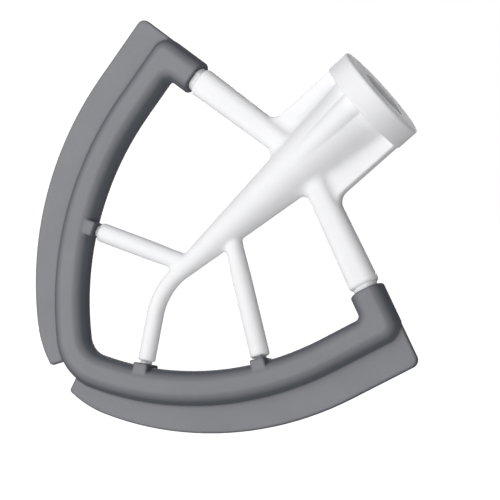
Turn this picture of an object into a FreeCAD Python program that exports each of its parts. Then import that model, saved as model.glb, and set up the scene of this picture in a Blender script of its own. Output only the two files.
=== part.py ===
import FreeCAD, Part
import math
import os
from FreeCAD import Vector

# Flat beater for a stand mixer: a stiff moulded frame and a flexible edge moulded round its rim.
# Millimetres. The origin is the mouth of the drive bore, +Z points up out of the bore, the frame lies
# in the XZ plane and Y is its depth. Depths below the hub face are written as positive lengths.

# Hub
collar_d = 32.8
collar_h = 7.5
collar_edge_r = 0.8
collar_fillet = 0.6       # under the collar, round the stem
shaft_d = 12.7
shaft_clearance = 0.1     # radial
bore_depth = 26.0
bore_lead_in = 0.8
pin_d = 4.8
pin_clearance = 0.2       # each side of the pin
pin_reach = 9.2           # how far the pin stands out from the axis
pin_drop = 9.0            # depth of the locked pin's centre
pin_turn = 32.0           # degrees from the entry slot to the locked place

# Cross ribs, round ridges in front and behind that sink into the stem
cross_rib_r = 4.4
cross_rib_step = 2.5      # the crest starts this far inside the collar's edge
cross_rib_end = 34.0      # depth where the crest runs out on the stem

# Side ribs, flat plates left and right of the stem, from the collar down to the arms
side_rib_step = 0.15      # the free edge stands this far inside the collar's edge
side_rib_depth = 4.2
side_rib_edge_r = 0.6
side_rib_fillet = 3.0     # where the side ribs and arms leave the stem

# Stem: lens section under the collar, tapering to a round tip that bends to the right
stem_top_w = 22.8
stem_top_depth = 25.0
stem_tip_d = 5.5
stem_straight = 86.5      # depth where the bend begins
stem_bend_r = 22.0
stem_bend_angle = 40.0

# Arms
arm_z = 32.0              # depth where the arm axes cross the bore axis
arm_tilt = 13.5           # degrees below level
arm_root_w = 7.8
arm_end_w = 9.4
arm_depth = 8.8
arm_round = 3.5           # rounding of the arm's long edges
arm_flat = 0.6            # least flat left between those roundings
arm_end_r = 1.0
arm_top_fillet = 4.0      # hollow corner between the arm and the side rib

# Spokes, each from the stem's axis out to the rim
left_spoke_rise = 4.4     # above the start of the stem's bend
left_spoke_tilt = 30.0
left_spoke_step = 0.23    # how far the left spoke's root lies inside the stem's sides
right_spoke_z = 64.3
right_spoke_tilt = 24.8
right_spoke_d = 6.0       # at its root
spoke_end_d = 5.2
spoke_end_r = 0.6
spoke_fillet = 1.2
spoke_neck_d = 3.8

# Rim: straight below each elbow, a long side arc, then a tight arc round the tip
rim_half_span = 56.7      # elbow corner from the axis
rim_straight = 19.3
rim_tip_z = 128.6         # depth of the rim's centre line at the tip
rim_tip_r = 13.0
rim_d = 7.8
rim_flat = 0.3            # depth of the flats in front and behind

# Flexible edge
sleeve_wall = 1.7
sleeve_flat = 0.35        # depth of the flats in front and behind
sleeve_on_arm = 12.5      # sleeve along the arm, back from the elbow corner
sleeve_end_r = 0.7
elbow_inner_r = 1.4
elbow_relief = 0.04       # keeps the elbow's inner round under the sleeve's skin where they part
neck_gap = 1.6            # bare neck between an arm's shoulder and the sleeve
spoke_neck_gap = 0.9      # bare neck between a spoke's shoulder and its boss
boss_w = 4.8
boss_depth = 9.6
boss_out = 0.9            # how far a boss stands inside the sleeve
boss_edge_r = 0.5
lip_t = 2.2
lip_reach = 15.3          # from the rim's centre line, at the top
lip_top_drop = 0.2        # top edge of the lip below the top of the sleeve
lip_straight = 24.0
lip_tip_reach = 9.8       # from the rim's centre line, at the tip
lip_tip_r = 36.8
lip_gap = 7.2             # between the two lips, where they leave the sleeve at the tip
lip_end_tilt = 24.0       # degrees that the lip ends lean away from the axis
lip_corner_r = 2.6
lip_end_corner_r = 1.1
lip_edge_r = 0.7

# Worked out from the sizes above
bore_r = shaft_d / 2 + shaft_clearance
side_rib_x = collar_d / 2 - side_rib_step
rim_r = rim_d / 2
sleeve_r = rim_r + sleeve_wall
tilt = math.radians(arm_tilt)
arm_dir = Vector(math.cos(tilt), 0, -math.sin(tilt))
arm_up = Vector(math.sin(tilt), 0, math.cos(tilt))
rim_dir = arm_up * -1
depth_dir = Vector(0, 1, 0)
elbow = Vector(rim_half_span, 0, -arm_z - rim_half_span * math.tan(tilt))
web_top = -(collar_h - collar_edge_r)
left_spoke_z = stem_straight - left_spoke_rise


def point(x, z):
    return Vector(x, 0, z)


def mirrored(shape):
    return shape.mirror(Vector(0, 0, 0), Vector(1, 0, 0))


def line(a, b):
    return Part.LineSegment(a, b).toShape()


def arc(a, through, b):
    return Part.Arc(a, through, b).toShape()


def turned(a, centre, degrees):
    """Point a turned about the Y axis through centre; positive turns +X towards -Z."""
    return centre + FreeCAD.Rotation(depth_dir, degrees).multVec(a - centre)


def rounded_outline(corners):
    """Closed flat wire through (point, radius) corners, each rounded by its radius."""
    edges = []
    starts = []
    ends = []
    for i, (corner, radius) in enumerate(corners):
        before = (corners[i - 1][0] - corner).normalize()
        after = (corners[(i + 1) % len(corners)][0] - corner).normalize()
        if radius == 0:
            starts.append(corner)
            ends.append(corner)
            continue
        half = before.getAngle(after) / 2
        reach = radius / math.tan(half)
        middle = corner + (before + after).normalize() * (radius / math.sin(half) - radius)
        starts.append(corner + before * reach)
        ends.append(corner + after * reach)
        edges.append(arc(starts[-1], middle, ends[-1]))
    for i in range(len(corners)):
        edges.append(line(ends[i - 1], starts[i]))
    return Part.Wire(Part.__sortEdges__(edges))


class Track:
    """Half of a rim-like line on the +X side: straight, side arc, then tip arc to x = 0."""

    def __init__(self, start, straight, tip_z, tip_r):
        self.start = start
        self.tip_r = tip_r
        self.tip_centre = point(0, -tip_z + tip_r)
        self.side_start = start + rim_dir * straight
        inward = arm_dir * -1
        off = self.side_start - self.tip_centre
        self.side_r = (tip_r ** 2 - off.dot(off)) / (2 * (off.dot(inward) + tip_r))
        self.side_centre = self.side_start + inward * self.side_r
        out = (self.tip_centre - self.side_centre).normalize()
        self.side_end = self.tip_centre + out * tip_r
        self.side_turn = math.degrees(arm_dir.getAngle(out))
        self.tip_turn = 90 - arm_tilt - self.side_turn

    def side_arc(self):
        middle = turned(self.side_start, self.side_centre, self.side_turn / 2)
        return arc(self.side_start, middle, self.side_end)

    def cross_tip(self, base, way):
        """Where a line from base, inside the track, meets it near the tip, and whether on the side arc."""
        side = base + way * reach_circle(base, way, self.side_centre, self.side_r)
        tip = base + way * reach_circle(base, way, self.tip_centre, self.tip_r)
        return (side, True) if side.x > self.side_end.x else (tip, False)


def reach_circle(start, way, centre, radius):
    """Distance along way from start, inside a circle, to the circle."""
    off = start - centre
    along = off.dot(way)
    return -along + math.sqrt(along ** 2 - off.dot(off) + radius ** 2)


rim_track = Track(elbow, rim_straight, rim_tip_z, rim_tip_r)


def tube_section(centre, normal, radius, flat, half=False):
    """Round section with flats in front and behind, in the plane of normal and Y."""
    def at(n, y):
        return centre + normal * n + depth_dir * y
    y = radius - flat
    w = math.sqrt(radius ** 2 - y ** 2)
    edges = [arc(at(w, -y), at(radius, 0), at(w, y))]
    if half:
        edges += [line(at(w, y), at(0, y)), line(at(0, y), at(0, -y)), line(at(0, -y), at(w, -y))]
    else:
        edges += [line(at(w, y), at(-w, y)), arc(at(-w, y), at(-radius, 0), at(-w, -y))]
        edges += [line(at(-w, -y), at(w, -y))]
    return Part.Face(Part.Wire(edges))


def rim_tube(radius, flat, arm_length, end_r=0):
    """Tube along the whole rim, with its elbows and a length of each arm whose end is rounded by end_r."""
    end = elbow - arm_dir * arm_length
    arm = tube_section(end, arm_up, radius, flat).extrude(arm_dir * arm_length)
    if end_r:
        arm = arm.makeFillet(end_r, [e for e in arm.Edges if abs((e.CenterOfMass - end).dot(arm_dir)) < 1e-6])
    corner = tube_section(elbow, arm_up, radius, flat, half=True).revolve(elbow, depth_dir, 90)
    straight = tube_section(elbow, arm_dir, radius, flat).extrude(rim_dir * rim_straight)
    side = tube_section(rim_track.side_start, arm_dir, radius, flat)
    side = side.revolve(rim_track.side_centre, depth_dir, rim_track.side_turn)
    out = (rim_track.side_end - rim_track.tip_centre).normalize()
    tip = tube_section(rim_track.side_end, out, radius, flat)
    tip = tip.revolve(rim_track.tip_centre, depth_dir, 2 * rim_track.tip_turn)
    pieces = [arm, corner, straight, side]
    return tip.multiFuse(pieces + [mirrored(piece) for piece in pieces]).removeSplitter()


def elbow_round():
    """Inner round of the right elbow, a bend whose skin leaves the sleeve's just past its ends."""
    bend_r = sleeve_r + elbow_inner_r
    section = tube_section(elbow - arm_dir * bend_r, arm_up, sleeve_r - elbow_relief, sleeve_flat)
    return section.revolve(elbow - arm_dir * bend_r + rim_dir * bend_r, depth_dir, 90)


# Frame

def collar():
    body = Part.makeCylinder(collar_d / 2, collar_h, Vector(0, 0, -collar_h))
    top = [e for e in body.Edges if len(e.Vertexes) == 1 and abs(e.CenterOfMass.z) < 1e-6]
    return body.makeFillet(collar_edge_r, top)


def stem_half_w(z):
    """Half width of the stem at height z, down to the bend."""
    share = (-z - collar_h) / (stem_straight - collar_h)
    return stem_top_w / 2 + (stem_tip_d / 2 - stem_top_w / 2) * share


def stem_half_depth(z):
    share = (-z - collar_h) / (stem_straight - collar_h)
    return stem_top_depth / 2 + (stem_tip_d / 2 - stem_top_depth / 2) * share


def lens(z):
    w = stem_half_w(z)
    d = stem_half_depth(z)
    front = Vector(0, -d, z)
    back = Vector(0, d, z)
    return Part.Wire([arc(front, Vector(w, 0, z), back), arc(back, Vector(-w, 0, z), front)])


def spoke_end(start, way, track_side):
    """Distance from start along way to the rim's centre line, on the side given by its sign."""
    centre = Vector(rim_track.side_centre.x * track_side, 0, rim_track.side_centre.z)
    return reach_circle(start, way, centre, rim_track.side_r)


def shoulder_rounded(solid, end, way, radius):
    """Rounds the circular edge of the flat end face at the point end."""
    rings = [e for e in solid.Edges if len(e.Vertexes) == 1 and abs((e.CenterOfMass - end).dot(way)) < 1e-6]
    return solid.makeFillet(radius, rings)


def neck(start, way, length):
    return Part.makeCylinder(spoke_neck_d / 2, length, start, way)


def spoke(start, way, track_side, root_r):
    """Tapering spoke with a rounded shoulder, and the neck that goes on to the rim."""
    full = spoke_end(start, way, track_side)
    length = full - sleeve_r - boss_out - spoke_neck_gap
    bar = Part.makeCone(root_r, spoke_end_d / 2, length, start, way)
    bar = shoulder_rounded(bar, start + way * length, way, spoke_end_r)
    return bar.fuse(neck(start, way, full))


def stem():
    """Lens taper, the bend, and the straight end with its shoulder and neck."""
    taper = Part.makeLoft([lens(web_top), lens(-stem_straight)], True, True)
    bend_start = point(0, -stem_straight)
    centre = point(stem_bend_r, -stem_straight)
    disc = Part.Face(Part.Wire(Part.makeCircle(stem_tip_d / 2, bend_start, Vector(0, 0, -1))))
    bend = disc.revolve(centre, depth_dir, -stem_bend_angle)
    start, way = stem_end_axis()
    full = spoke_end(start, way, 1)
    length = full - sleeve_r - boss_out - spoke_neck_gap
    end = Part.makeCylinder(stem_tip_d / 2, length, start, way)
    end = shoulder_rounded(end, start + way * length, way, spoke_end_r)
    return taper.multiFuse([bend, end, neck(start, way, full)])


def stem_end_axis():
    start = turned(point(0, -stem_straight), point(stem_bend_r, -stem_straight), -stem_bend_angle)
    angle = math.radians(stem_bend_angle)
    return start, Vector(math.sin(angle), 0, -math.cos(angle))


def spoke_axes():
    """Start, direction and rim side of the left spoke, then of the right one."""
    axes = []
    for z, degrees, side in ((left_spoke_z, left_spoke_tilt, -1), (right_spoke_z, right_spoke_tilt, 1)):
        angle = math.radians(degrees)
        axes.append((point(0, -z), Vector(side * math.cos(angle), 0, -math.sin(angle)), side))
    return axes


def spokes():
    left, right = spoke_axes()
    left_root_r = stem_half_w(-left_spoke_z) - left_spoke_step
    return [spoke(*left, left_root_r), spoke(*right, right_spoke_d / 2)]


def plate(corners, depth):
    """Flat outline in the XZ plane, thickened evenly to its front and back."""
    face = Part.Face(Part.makePolygon(corners + corners[:1]))
    face.translate(depth_dir * (-depth / 2))
    return face.extrude(depth_dir * depth)


def at_axis(a, b):
    """Where the line from a to b crosses the bore axis."""
    return a - (b - a) * (a.x / (b.x - a.x))


def arm():
    """Right arm: a tapering bar with rounded long edges, from the bore axis out to its shoulder."""
    length = rim_half_span / math.cos(tilt) - sleeve_on_arm - neck_gap
    root = point(0, -arm_z)
    tip = root + arm_dir * length
    top_a = root + arm_up * (arm_root_w / 2)
    top_b = tip + arm_up * (arm_end_w / 2)
    under_a = root - arm_up * (arm_root_w / 2)
    under_b = tip - arm_up * (arm_end_w / 2)
    bar = plate([at_axis(top_a, top_b), top_b, under_b, at_axis(under_a, under_b)], arm_depth)
    long_edges = [e for e in bar.Edges if e.BoundBox.XLength > length / 2]
    bar = bar.makeFillet(min(arm_round, (min(arm_depth, arm_root_w) - arm_flat) / 2), long_edges)
    shoulder = min(bar.Faces, key=lambda f: (f.CenterOfMass - tip).Length)
    return bar.makeFillet(arm_end_r, shoulder.Edges)


def side_rib():
    """Right side rib, from the bore axis out to its free edge and down to the arm's axis."""
    foot = point(side_rib_x, -arm_z - side_rib_x * math.tan(tilt))
    corner = point(side_rib_x, web_top)
    blade = plate([point(0, web_top), corner, foot, point(0, -arm_z)], side_rib_depth)
    free = [e for e in blade.Edges if e.BoundBox.XMin > side_rib_x - 1e-6 and e.BoundBox.YLength < 1e-6]
    return blade.makeFillet(side_rib_edge_r, free)


def web():
    """Side ribs and arms of both sides, each rib running into its arm round a hollow corner."""
    bar = arm()
    rib = side_rib()
    right = blended(bar.fuse(rib).removeSplitter(), bar, rib, arm_top_fillet)
    return right.fuse(mirrored(right)).removeSplitter()


def cross_ribs():
    """Front and back ribs, leaning cylinders whose crests run from under the collar into the stem."""
    crest_top = collar_d / 2 - cross_rib_step
    crest_end = stem_half_depth(-cross_rib_end)
    way = Vector(0, crest_top - crest_end, collar_h - cross_rib_end).normalize()
    start = Vector(0, cross_rib_r - crest_top, web_top) - way * (collar_h / 4)    # inside the collar
    front = Part.makeCylinder(cross_rib_r, cross_rib_end, start, way)
    return [front, front.mirror(Vector(0, 0, 0), depth_dir)]


def drive_bore():
    """Bore with a lead-in, and the slot that lets the cross pin in and locks it by a turn."""
    cut = Part.makeCylinder(bore_r, bore_depth, Vector(0, 0, -bore_depth))
    cut = cut.fuse(Part.makeCone(bore_r, bore_r + bore_lead_in, bore_lead_in, Vector(0, 0, -bore_lead_in)))
    slot_w = pin_d + 2 * pin_clearance
    slot_reach = pin_reach + pin_clearance
    floor = -pin_drop - slot_w / 2
    entry = Part.makeBox(slot_reach, slot_w, -floor, Vector(0, -slot_w / 2, floor))
    lock = Part.makeBox(slot_reach, slot_w, slot_w, Vector(0, -slot_w / 2, floor))
    lock.rotate(Vector(0, 0, 0), Vector(0, 0, 1), pin_turn)
    sweep = Part.makeCylinder(slot_reach, slot_w, Vector(0, 0, floor), Vector(0, 0, 1), pin_turn)
    reach_limit = Part.makeCylinder(slot_reach, -floor, Vector(0, 0, floor))
    slot = entry.multiFuse([lock, sweep]).common(reach_limit)
    return cut.fuse(slot)


def blended(body, first, second, radius):
    """Rounds the inner corners of body where the skins of two of its pieces meet."""
    def on_both(edge):
        middle = Part.Vertex(edge.valueAt((edge.FirstParameter + edge.LastParameter) / 2))
        return all(piece.Shells[0].distToShape(middle)[0] < 1e-4 for piece in (first, second))
    return body.makeFillet(radius, [e for e in body.Edges if on_both(e)])


def frame():
    core = stem()
    sides = web()
    ring = collar()
    bars = spokes()
    body = ring.multiFuse([core, sides] + cross_ribs() + bars).removeSplitter()
    body = blended(body, core, sides, side_rib_fillet)
    body = blended(body, core, ring, collar_fillet)
    for bar in bars:
        body = blended(body, core, bar, spoke_fillet)
    into_arm = rim_half_span / math.cos(tilt) / 2    # the rim's bar reaches half way into each arm
    body = body.fuse(rim_tube(rim_r, rim_flat, into_arm)).removeSplitter()
    return body.cut(drive_bore())


# Flexible edge

def boss(start, way, track_side):
    """Square block on the sleeve's inner side where a neck goes in."""
    full = spoke_end(start, way, track_side)
    length = sleeve_r + boss_out
    block = Part.makeBox(boss_w, boss_depth, length, Vector(-boss_w / 2, -boss_depth / 2, 0))
    edges = [e for e in block.Edges if e.BoundBox.ZMax < 1e-6 or e.BoundBox.ZLength > length / 2]
    block = block.makeFillet(boss_edge_r, edges)
    turn = FreeCAD.Rotation(Vector(0, 0, 1), way)
    block.Placement = FreeCAD.Placement(start + way * (full - length), turn)
    return block


def lip():
    """Right wiper lip: flat, widest at the top, ending short of the tip."""
    corner = elbow + arm_dir * lip_reach + arm_up * (sleeve_r - lip_top_drop)
    edge_track = Track(corner, lip_straight, rim_tip_z + lip_tip_reach, lip_tip_r)
    lean = math.radians(lip_end_tilt)
    end_way = Vector(math.sin(lean), 0, -math.cos(lean))
    end_base = point(lip_gap / 2, -rim_tip_z - sleeve_r) - end_way * ((rim_tip_r + sleeve_r) / math.cos(lean))
    root_end, root_on_side = rim_track.cross_tip(end_base, end_way)
    lip_end, end_on_side = edge_track.cross_tip(end_base, end_way)
    root_top = elbow + arm_up * (sleeve_r - lip_top_drop)
    edges = [line(root_top, elbow), line(elbow, rim_track.side_start)]
    edges += track_edges(rim_track, root_end, root_on_side)
    edges += [line(root_end, lip_end)]
    edges += track_edges(edge_track, lip_end, end_on_side)
    edges += [line(edge_track.side_start, corner), line(corner, root_top)]
    face = Part.Face(Part.Wire(Part.__sortEdges__(edges)))
    face.translate(depth_dir * (-lip_t / 2))
    solid = face.extrude(depth_dir * lip_t)
    for place, radius in ((corner, lip_corner_r), (lip_end, lip_end_corner_r)):
        edge = min((e for e in solid.Edges if e.BoundBox.YLength > lip_t / 2),
                   key=lambda e: (e.CenterOfMass - place).Length)
        solid = solid.makeFillet(radius, [edge])
    inner = [elbow, root_top, rim_track.side_start, root_end]
    outer = [e for e in solid.Edges if e.BoundBox.YLength < 1e-6 and not touches_root(e, inner)]
    return solid.makeFillet(lip_edge_r, outer)


def track_edges(track, end, on_side):
    """Arcs of a track from its straight to a point on its side arc or its tip arc."""
    if on_side:
        turn = math.degrees((track.side_start - track.side_centre).getAngle(end - track.side_centre))
        return [arc(track.side_start, turned(track.side_start, track.side_centre, turn / 2), end)]
    turn = math.degrees((track.side_end - track.tip_centre).getAngle(end - track.tip_centre))
    return [track.side_arc(), arc(track.side_end, turned(track.side_end, track.tip_centre, turn / 2), end)]


def touches_root(edge, inner):
    """True for the lip's edges that lie inside the sleeve, along the rim's centre line."""
    both = [Vector(v.X, 0, v.Z) for v in edge.Vertexes]
    middle = edge.valueAt((edge.FirstParameter + edge.LastParameter) / 2)
    middle = Vector(middle.x, 0, middle.z)
    on_line = [min((p - q).Length for q in inner) < 1e-6 for p in both]
    on_arc = [abs((p - rim_track.side_centre).Length - rim_track.side_r) < 1e-6 for p in both + [middle]]
    on_tip = [abs((p - rim_track.tip_centre).Length - rim_track.tip_r) < 1e-6 for p in both + [middle]]
    return all(on_line) or all(on_arc) or all(on_tip)


def flex_edge(frame_solid):
    sleeve = rim_tube(sleeve_r, sleeve_flat, sleeve_on_arm, sleeve_end_r)
    rounds = elbow_round()
    pieces = [rounds, mirrored(rounds), lip(), mirrored(lip())]
    pieces += [boss(*axis) for axis in spoke_axes()]
    start, way = stem_end_axis()
    pieces += [boss(start, way, 1)]
    return sleeve.multiFuse(pieces).removeSplitter().cut(frame_solid)


def save(shape, name):
    solids = shape.Solids
    print(name, "solids", len(solids), "valid", shape.isValid(), "volume", round(shape.Volume, 2))
    solid = solids[0] if len(solids) == 1 else shape
    solid.exportStep("parts/" + name + ".step")


os.makedirs("parts", exist_ok=True)
frame_solid = frame()
save(frame_solid, "frame")
save(flex_edge(frame_solid), "flex_edge")
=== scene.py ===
import math

import bpy
from mathutils import Matrix, Vector


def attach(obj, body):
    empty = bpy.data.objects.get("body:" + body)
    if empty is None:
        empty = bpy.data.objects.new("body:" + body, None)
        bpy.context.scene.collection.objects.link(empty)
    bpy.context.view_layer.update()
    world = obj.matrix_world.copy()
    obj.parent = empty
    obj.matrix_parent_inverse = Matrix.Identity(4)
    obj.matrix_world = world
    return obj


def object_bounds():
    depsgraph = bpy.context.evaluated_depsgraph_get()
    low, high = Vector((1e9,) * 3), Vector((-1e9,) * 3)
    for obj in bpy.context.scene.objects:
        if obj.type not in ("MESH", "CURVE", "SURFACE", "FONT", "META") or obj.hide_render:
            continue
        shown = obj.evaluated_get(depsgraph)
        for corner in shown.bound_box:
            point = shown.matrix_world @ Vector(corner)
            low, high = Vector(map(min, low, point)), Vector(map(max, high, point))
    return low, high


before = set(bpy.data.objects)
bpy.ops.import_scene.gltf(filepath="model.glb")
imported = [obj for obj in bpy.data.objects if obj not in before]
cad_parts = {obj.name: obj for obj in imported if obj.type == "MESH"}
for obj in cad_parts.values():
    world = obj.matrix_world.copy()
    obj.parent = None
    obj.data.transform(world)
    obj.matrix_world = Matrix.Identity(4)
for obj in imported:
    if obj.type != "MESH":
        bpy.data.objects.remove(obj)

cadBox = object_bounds()
print("beater loaded:", ", ".join(sorted(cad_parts)))


# small helpers for shader nodes

def startMaterial(name):
    material = bpy.data.materials.new(name)
    material.use_nodes = True
    tree = material.node_tree
    tree.nodes.clear()
    output = tree.nodes.new("ShaderNodeOutputMaterial")
    return material, tree, output


def addNode(tree, kind, values=None, **settings):
    node = tree.nodes.new(kind)
    for key, value in settings.items():
        setattr(node, key, value)
    for socket, value in (values or {}).items():
        node.inputs[socket].default_value = value
    return node


def grain(tree, place, perMetre, detail):
    noise = addNode(tree, "ShaderNodeTexNoise", {"Scale": perMetre, "Detail": detail})
    tree.links.new(place, noise.inputs["Vector"])
    return noise.outputs["Fac"]


def spread(tree, value, low, high):
    # takes the middle of a noise, where nearly all of it lies, to the range low to high
    noiseLow = 0.3
    noiseHigh = 0.7
    middle = {"From Min": noiseLow, "From Max": noiseHigh, "To Min": low, "To Max": high}
    ranged = addNode(tree, "ShaderNodeMapRange", middle)
    tree.links.new(value, ranged.inputs["Value"])
    return ranged.outputs["Result"]


def tint(tree, value, dark, light):
    mixed = addNode(tree, "ShaderNodeMix", data_type="RGBA")
    mixed.inputs["A"].default_value = (*dark, 1)
    mixed.inputs["B"].default_value = (*light, 1)
    tree.links.new(value, mixed.inputs["Factor"])
    return mixed.outputs["Result"]


# finish of the two mouldings, one dictionary each

whiteMoulding = {
    "node": "frame",
    "dark": (0.845, 0.845, 0.858),
    "light": (0.885, 0.885, 0.897),
    "roughness": (0.42, 0.52),
    "gloss": 0.003,             # specular level
    "patchPerMetre": 45,        # slow change of tone and gloss over the skin
    "patchDetail": 3,
    "skinPerMetre": 700,        # fine waviness left by the mould
    "skinDetail": 2,
    "skinHeight": 0.00004,
    "paintedShadeTone": (0.93, 0.93, 0.94),   # painted shade on the round sides against the flats in front and behind
    "paintedShadeFrom": 0.6,            # share of facing the front at which that painted shade tone is full
    "softEdge": 0.0010,         # metres over which an edge is worn round
    "softEdgeRays": 8,
    "seamHalfWidth": 0.00022,   # parting line where the mould halves met
    "seamHeight": 0.00005,
}

greyElastomer = {
    "node": "flex_edge",
    "dark": (0.213, 0.216, 0.229),
    "light": (0.251, 0.254, 0.270),
    "roughness": (0.55, 0.68),
    "gloss": 0.02,
    "patchPerMetre": 60,
    "patchDetail": 3,
    "skinPerMetre": 1500,
    "skinDetail": 2,
    "skinHeight": 0.00006,
    # painted shade, cool and dark, on the round sides against the flats in front and behind
    "paintedShadeTone": (0.43, 0.46, 0.485),
    "paintedShadeFrom": 0.6,
    "softEdge": 0.0016,
    "softEdgeRays": 8,
    "seamHalfWidth": 0.00018,
    "seamHeight": 0.00004,
}


def partingLine(tree, place, halfWidth):
    # 1 on the plane y = 0, falling to 0 at halfWidth to each side
    split = addNode(tree, "ShaderNodeSeparateXYZ")
    tree.links.new(place, split.inputs["Vector"])
    away = addNode(tree, "ShaderNodeMath", operation="ABSOLUTE")
    tree.links.new(split.outputs["Y"], away.inputs[0])
    reach = {"From Min": halfWidth, "From Max": 0.0}
    ridge = addNode(tree, "ShaderNodeMapRange", reach, interpolation_type="SMOOTHSTEP")
    tree.links.new(away.outputs[0], ridge.inputs["Value"])
    return ridge.outputs["Result"]


def paintSideShade(tree, colour, normal, paintedShadeTone, paintedShadeFrom):
    # painted side shade: full colour where the skin faces the front or the back, darker where it turns to
    # the side
    split = addNode(tree, "ShaderNodeSeparateXYZ")
    tree.links.new(normal, split.inputs["Vector"])
    facing = addNode(tree, "ShaderNodeMath", operation="ABSOLUTE")
    tree.links.new(split.outputs["Y"], facing.inputs[0])
    turned = addNode(tree, "ShaderNodeMapRange", {"From Min": paintedShadeFrom, "From Max": 1.0})
    tree.links.new(facing.outputs[0], turned.inputs["Value"])
    shaded = addNode(tree, "ShaderNodeVectorMath", operation="MULTIPLY")
    tree.links.new(colour, shaded.inputs[0])
    tree.links.new(tint(tree, turned.outputs["Result"], paintedShadeTone, (1, 1, 1)), shaded.inputs[1])
    return shaded.outputs["Vector"]


def mouldedSkin(name, finish):
    material, tree, output = startMaterial(name)
    skin = addNode(tree, "ShaderNodeBsdfPrincipled", {"Specular IOR Level": finish["gloss"]})
    place = addNode(tree, "ShaderNodeTexCoord").outputs["Object"]
    patches = grain(tree, place, finish["patchPerMetre"], finish["patchDetail"])
    edges = addNode(tree, "ShaderNodeBevel", {"Radius": finish["softEdge"]}, samples=finish["softEdgeRays"])
    worn = edges.outputs["Normal"]
    mottled = tint(tree, patches, finish["dark"], finish["light"])
    # base colour with the painted side shade in it
    colour = paintSideShade(tree, mottled, worn, finish["paintedShadeTone"], finish["paintedShadeFrom"])
    tree.links.new(colour, skin.inputs["Base Color"])
    tree.links.new(spread(tree, patches, *finish["roughness"]), skin.inputs["Roughness"])
    fine = grain(tree, place, finish["skinPerMetre"], finish["skinDetail"])
    texture = addNode(tree, "ShaderNodeBump", {"Strength": 1.0, "Distance": finish["skinHeight"]})
    tree.links.new(fine, texture.inputs["Height"])
    tree.links.new(worn, texture.inputs["Normal"])
    seam = addNode(tree, "ShaderNodeBump", {"Strength": 1.0, "Distance": finish["seamHeight"]})
    tree.links.new(partingLine(tree, place, finish["seamHalfWidth"]), seam.inputs["Height"])
    tree.links.new(texture.outputs["Normal"], seam.inputs["Normal"])
    tree.links.new(seam.outputs["Normal"], skin.inputs["Normal"])
    tree.links.new(skin.outputs["BSDF"], output.inputs["Surface"])
    return material


def dress(finish, material):
    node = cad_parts[finish["node"]]
    node.data.materials.clear()
    node.data.materials.append(material)


satinWhite = mouldedSkin("satin white moulding", whiteMoulding)
dress(whiteMoulding, satinWhite)
dress(greyElastomer, mouldedSkin("matte grey elastomer", greyElastomer))
print("finishes set")


# fuller skins over the two spokes, whose solids taper more than the real ones do

spokeSkins = {
    "body": "root",
    "slot": "white_moulding",
    "startRadius": 0.0027,      # inside the solid
    "leaveRadius": 0.0029,      # just under the solid's skin, past its root fillet
    "growLength": 0.007,        # from there to the full radius
    "radius": 0.0031,
    "endRound": 0.0007,         # round of the shoulder
    "roundSteps": 6,
    "around": 64,
    "spokes": [
        # name, height on the stem's axis, degrees down, side,
        # then where along the spoke it starts, leaves the solid and ends
        ("left_spoke_skin", -0.0821, 30.0, -1, 0.0040, 0.0070, 0.0323),
        ("right_spoke_skin", -0.0643, 24.8, 1, 0.0050, 0.0090, 0.0420),
    ],
}


def spokeProfile(start, leave, end):
    # distance along the spoke and radius there, from inside the solid to the rounded shoulder
    full = spokeSkins["radius"]
    bend = spokeSkins["endRound"]
    rows = [(start, spokeSkins["startRadius"]), (leave, spokeSkins["leaveRadius"])]
    rows.append((leave + spokeSkins["growLength"], full))
    for step in range(spokeSkins["roundSteps"] + 1):
        turn = math.pi / 2 * step / spokeSkins["roundSteps"]
        rows.append((end - bend + bend * math.sin(turn), full - bend + bend * math.cos(turn)))
    return rows


def turnedMesh(name, root, way, profile, around):
    # closed mesh of a profile turned round the line from root along way
    side = Vector((0, 1, 0))
    up = way.cross(side)
    points = [root + way * profile[0][0]]
    for along, radius in profile:
        for step in range(around):
            turn = 2 * math.pi * step / around
            points.append(root + way * along + (side * math.cos(turn) + up * math.sin(turn)) * radius)
    points.append(root + way * profile[-1][0])
    last = len(points) - 1
    faces = []
    for step in range(around):
        here = 1 + step
        beside = 1 + (step + 1) % around
        faces.append((0, beside, here))
        for ring in range(len(profile) - 1):
            low = ring * around
            faces.append((here + low, beside + low, beside + low + around, here + low + around))
        top = (len(profile) - 1) * around
        faces.append((last, here + top, beside + top))
    mesh = bpy.data.meshes.new(name)
    mesh.from_pydata(points, [], faces)
    mesh.shade_smooth()
    return mesh


def addSpokeSkin(name, height, down, side, start, leave, end):
    slope = math.radians(down)
    way = Vector((side * math.cos(slope), 0, -math.sin(slope)))
    root = Vector((0, 0, height))
    mesh = turnedMesh(name, root, way, spokeProfile(start, leave, end), spokeSkins["around"])
    mesh.materials.append(satinWhite)
    skin = bpy.data.objects.new(name, mesh)
    bpy.context.scene.collection.objects.link(skin)
    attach(skin, spokeSkins["body"])


for spokeRow in spokeSkins["spokes"]:
    addSpokeSkin(*spokeRow)
print("spoke skins set")


# floor and light

studio = {
    "floorDrop": 0.55,          # below the beater's lowest point
    "floorSize": 14.0,
    "floorColour": (0.82, 0.82, 0.82, 1),
    "floorGlow": (0.45, 1.0),   # seen glow under the beater and far out, where the floor is plain white
    "glowSpread": (0.25, 1.1),  # metres from the beater where that change starts and ends
    "ambient": 0.15,
    "lamps": [
        # name, degrees round from the front towards the right, degrees up, distance, size, watts
        ("key lamp", -38, -12, 0.55, 0.5, 2.1),
        ("fill lamp", 32, -6, 2.2, 1.6, 29.0),
        ("rear lamp", 205, 0, 1.6, 1.0, 16.0),
        ("top lamp", -60, 80, 1.5, 1.0, 3.0),
    ],
}


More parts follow.
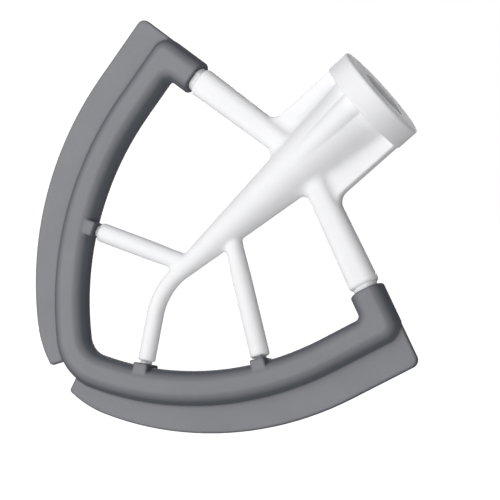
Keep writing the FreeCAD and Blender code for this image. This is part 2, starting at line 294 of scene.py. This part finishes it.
def seenRay(tree):
    # 1 for rays from the camera, in mirrors and through glass
    path = addNode(tree, "ShaderNodeLightPath")
    either = addNode(tree, "ShaderNodeMath", operation="MAXIMUM")
    tree.links.new(path.outputs["Is Camera Ray"], either.inputs[0])
    tree.links.new(path.outputs["Is Glossy Ray"], either.inputs[1])
    every = addNode(tree, "ShaderNodeMath", operation="MAXIMUM")
    tree.links.new(either.outputs[0], every.inputs[0])
    tree.links.new(path.outputs["Is Transmission Ray"], every.inputs[1])
    return every.outputs[0]


def floorMaterial():
    material, tree, output = startMaterial("pale floor")
    matte = addNode(tree, "ShaderNodeBsdfDiffuse", {"Color": studio["floorColour"]})
    glow = addNode(tree, "ShaderNodeEmission")
    place = addNode(tree, "ShaderNodeTexCoord").outputs["Object"]
    split = addNode(tree, "ShaderNodeVectorMath", {1: (1, 1, 0)}, operation="MULTIPLY")
    tree.links.new(place, split.inputs[0])
    away = addNode(tree, "ShaderNodeVectorMath", operation="LENGTH")
    tree.links.new(split.outputs["Vector"], away.inputs[0])
    near, far = studio["glowSpread"]
    low, high = studio["floorGlow"]
    ranges = {"From Min": near, "From Max": far, "To Min": low, "To Max": high}
    rising = addNode(tree, "ShaderNodeMapRange", ranges, interpolation_type="SMOOTHSTEP")
    tree.links.new(away.outputs["Value"], rising.inputs["Value"])
    strength = addNode(tree, "ShaderNodeMath", operation="MULTIPLY")
    tree.links.new(rising.outputs["Result"], strength.inputs[1])
    tree.links.new(seenRay(tree), strength.inputs[0])
    tree.links.new(strength.outputs[0], glow.inputs["Strength"])
    both = addNode(tree, "ShaderNodeAddShader")
    tree.links.new(matte.outputs[0], both.inputs[0])
    tree.links.new(glow.outputs[0], both.inputs[1])
    tree.links.new(both.outputs[0], output.inputs["Surface"])
    return material


def layFloor():
    half = studio["floorSize"] / 2
    level = cadBox[0].z - studio["floorDrop"]
    mesh = bpy.data.meshes.new("floor")
    corners = [(-half, -half, level), (half, -half, level), (half, half, level), (-half, half, level)]
    mesh.from_pydata(corners, [], [(0, 1, 2, 3)])
    floor = bpy.data.objects.new("floor", mesh)
    floor.data.materials.append(floorMaterial())
    bpy.context.scene.collection.objects.link(floor)


def setWorld():
    world = bpy.data.worlds.new("white studio")
    bpy.context.scene.world = world
    world.use_nodes = True
    tree = world.node_tree
    tree.nodes.clear()
    output = addNode(tree, "ShaderNodeOutputWorld")
    soft = addNode(tree, "ShaderNodeBackground", {"Color": (1, 1, 1, 1), "Strength": studio["ambient"]})
    white = addNode(tree, "ShaderNodeBackground", {"Color": (1, 1, 1, 1), "Strength": 1.0})
    choose = addNode(tree, "ShaderNodeMixShader")
    tree.links.new(seenRay(tree), choose.inputs["Fac"])
    tree.links.new(soft.outputs[0], choose.inputs[1])
    tree.links.new(white.outputs[0], choose.inputs[2])
    tree.links.new(choose.outputs[0], output.inputs["Surface"])


def direction(around, up):
    # unit vector from the beater, by degrees round from the front and degrees up
    around, up = math.radians(around), math.radians(up)
    return Vector((math.sin(around) * math.cos(up), -math.cos(around) * math.cos(up), math.sin(up)))


def hangLamp(name, around, up, distance, size, watts):
    lamp = bpy.data.lights.new(name, "AREA")
    lamp.shape = "DISK"
    lamp.size = size
    lamp.energy = watts
    holder = bpy.data.objects.new(name, lamp)
    middle = (cadBox[0] + cadBox[1]) / 2
    way = direction(around, up)
    holder.location = middle + way * distance
    holder.rotation_mode = "QUATERNION"
    holder.rotation_quaternion = way.to_track_quat("Z", "Y")
    holder.visible_camera = False
    bpy.context.scene.collection.objects.link(holder)


layFloor()
setWorld()
for lampRow in studio["lamps"]:
    hangLamp(*lampRow)
print("studio set")


# camera, rolled so that the beater stands aslant in the picture

shot = {
    "azimuth": 17.3,       # degrees round from the front, towards the right
    "elevation": 10.75,
    "roll": 48.45,
    "distance": 0.6886,
    "aim": (0.00992, -0.00016, -0.06355),
    "lens": 158.4,
    "sensor": 36.0,
    "near": 0.01,
    "far": 50.0,
}


def setCamera():
    lens = bpy.data.cameras.new("camera")
    lens.lens = shot["lens"]
    lens.sensor_width = shot["sensor"]
    lens.clip_start = shot["near"]
    lens.clip_end = shot["far"]
    camera = bpy.data.objects.new("camera", lens)
    bpy.context.scene.collection.objects.link(camera)
    back = direction(shot["azimuth"], shot["elevation"])
    level = back.to_track_quat("Z", "Y").to_matrix().to_4x4()
    turn = Matrix.Rotation(math.radians(shot["roll"]), 4, "Z")
    camera.matrix_world = Matrix.Translation(Vector(shot["aim"]) + back * shot["distance"]) @ level @ turn
    bpy.context.scene.camera = camera


setCamera()
bpy.context.scene.view_settings.view_transform = "Standard"
print("camera set")
